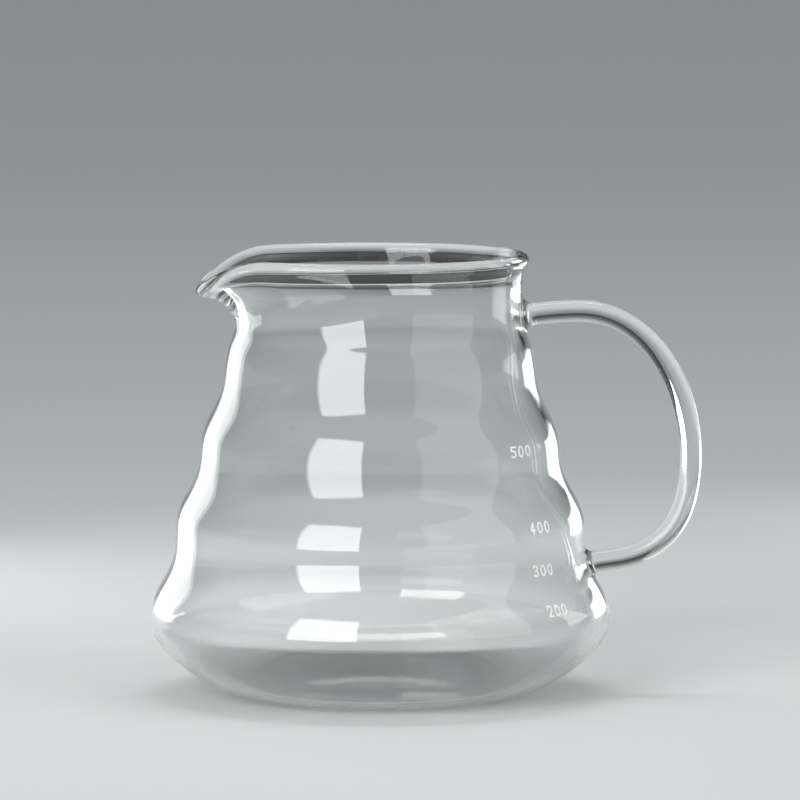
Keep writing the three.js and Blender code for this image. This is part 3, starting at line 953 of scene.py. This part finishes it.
def paper_material(name):
    material = bpy.data.materials.new(name)
    material.use_nodes = True
    tree = material.node_tree
    shader = tree.nodes["Principled BSDF"]
    shader.inputs["Roughness"].default_value = PAPER_ROUGHNESS
    shader.inputs["Specular IOR Level"].default_value = PAPER_GLOSS
    where = add(tree, "ShaderNodeTexCoord").outputs["Object"]
    distance = add(tree, "ShaderNodeVectorMath", {"operation": "LENGTH"}, {0: where})
    fade = add(tree, "ShaderNodeMapRange", {"interpolation_type": "SMOOTHSTEP"}, {
        "Value": distance.outputs["Value"], "From Min": 0, "From Max": PAINTED_LIGHT_REACH,
    })
    # pale near the server and grey farther off: a painted pool of light that fades to painted shade
    paper = add(tree, "ShaderNodeMix", {"data_type": "RGBA"}, {
        "Factor": fade.outputs[0], "A": linear("#E0E1E2"), "B": linear("#C4C8CB"),
    })
    tree.links.new(paper.outputs["Result"], shader.inputs["Base Color"])
    return material


sweep_middle = (FLAT_RADIUS, SWEEP_RADIUS - FLOOR_DROP)
sweep = arc(sweep_middle, SWEEP_RADIUS, -np.pi / 2, SWEEP_ANGLE - np.pi / 2, SWEEP_STEPS)
sheet = np.concatenate([[(0, -FLOOR_DROP)], sweep])[::-1]
floor = place("floor", turn(sheet, FLOOR_SIDES, paper_material("matt_paper_with_painted_light_pool")))
print("floor reaches, m:", round(floor.dimensions.x / 2, 2))

# %% [markdown]
# The lamps
#
# Glass is lit by what it mirrors. A tall softbox on the left leaves the long white panes that the waves
# break up. Two low panels stand close behind, at the sides: their mirror images run down the edges as
# white ribbons. The right one is lower still, so its ribbon is lost where the wall leans back most. A
# broad fill on the right lights the printed scale, and is kept out of the mirror images. Every lamp is
# given by its radiance, so that a larger lamp gives more light but looks no brighter in the glass.

# %% Lamps
def softbox(name, place_at, aim_at, width, height, radiance):
    lamp = bpy.data.lights.new(name, "AREA")
    lamp.shape = "RECTANGLE"
    lamp.size = width
    lamp.size_y = height
    lamp.energy = radiance * math.pi * width * height
    holder = place(name, lamp)
    holder.location = place_at
    holder.rotation_euler = (Vector(aim_at) - Vector(place_at)).to_track_quat("-Z", "Y").to_euler()
    holder.visible_camera = False
    print(name, "gives", round(lamp.energy, 2), "W")
    return holder


def standing(name, azimuth, distance, width, height, radiance):
    """A softbox on the floor, in metres. Azimuth 0 degrees is the camera's side, positive to the right."""
    turn_to = math.radians(azimuth)
    foot_at = distance * math.sin(turn_to), -distance * math.cos(turn_to)
    return softbox(name, (*foot_at, height / 2), (0, 0, height / 2), width, height, radiance)


standing("key", azimuth=-29, distance=1.5, width=0.95, height=1.25, radiance=5.5)
fill_lamp = standing("fill", azimuth=55, distance=1.7, width=1.8, height=1.6, radiance=1.7)
fill_lamp.visible_glossy = False
standing("left_panel", azimuth=-136.5, distance=0.36, width=0.19, height=0.2, radiance=2.2)
standing("right_panel", azimuth=143.5, distance=0.5, width=0.19, height=0.1, radiance=3.2)
softbox("overhead", place_at=(0, 0.25, 1.6), aim_at=(0, 0, 0), width=0.9, height=0.35, radiance=4)

# %% [markdown]
# The room
#
# The room is a soft dome: bright overhead and dark at the horizon. An even dome would be simpler, but then
# the edges of the glass would have nothing dark to mirror and would vanish against the paper.

# %% Room
HORIZON_LIGHT, ZENITH_LIGHT = 0.04, 0.55
DARK_UP_TO, BRIGHT_FROM = 0.1, 0.8  # upward part of a direction, 0 at the horizon and 1 at the zenith

world = bpy.data.worlds.new("studio")
scene.world = world
world.use_nodes = True
tree = world.node_tree
looking = add(tree, "ShaderNodeTexCoord").outputs["Generated"]
up = add(tree, "ShaderNodeSeparateXYZ", inputs={0: looking})
dome = add(tree, "ShaderNodeMapRange", {"interpolation_type": "SMOOTHSTEP"}, {
    "Value": up.outputs["Z"], "From Min": DARK_UP_TO, "From Max": BRIGHT_FROM,
    "To Min": HORIZON_LIGHT, "To Max": ZENITH_LIGHT,
})
tree.links.new(dome.outputs[0], tree.nodes["Background"].inputs["Color"])
print("room light from horizon to zenith:", HORIZON_LIGHT, "to", ZENITH_LIGHT)
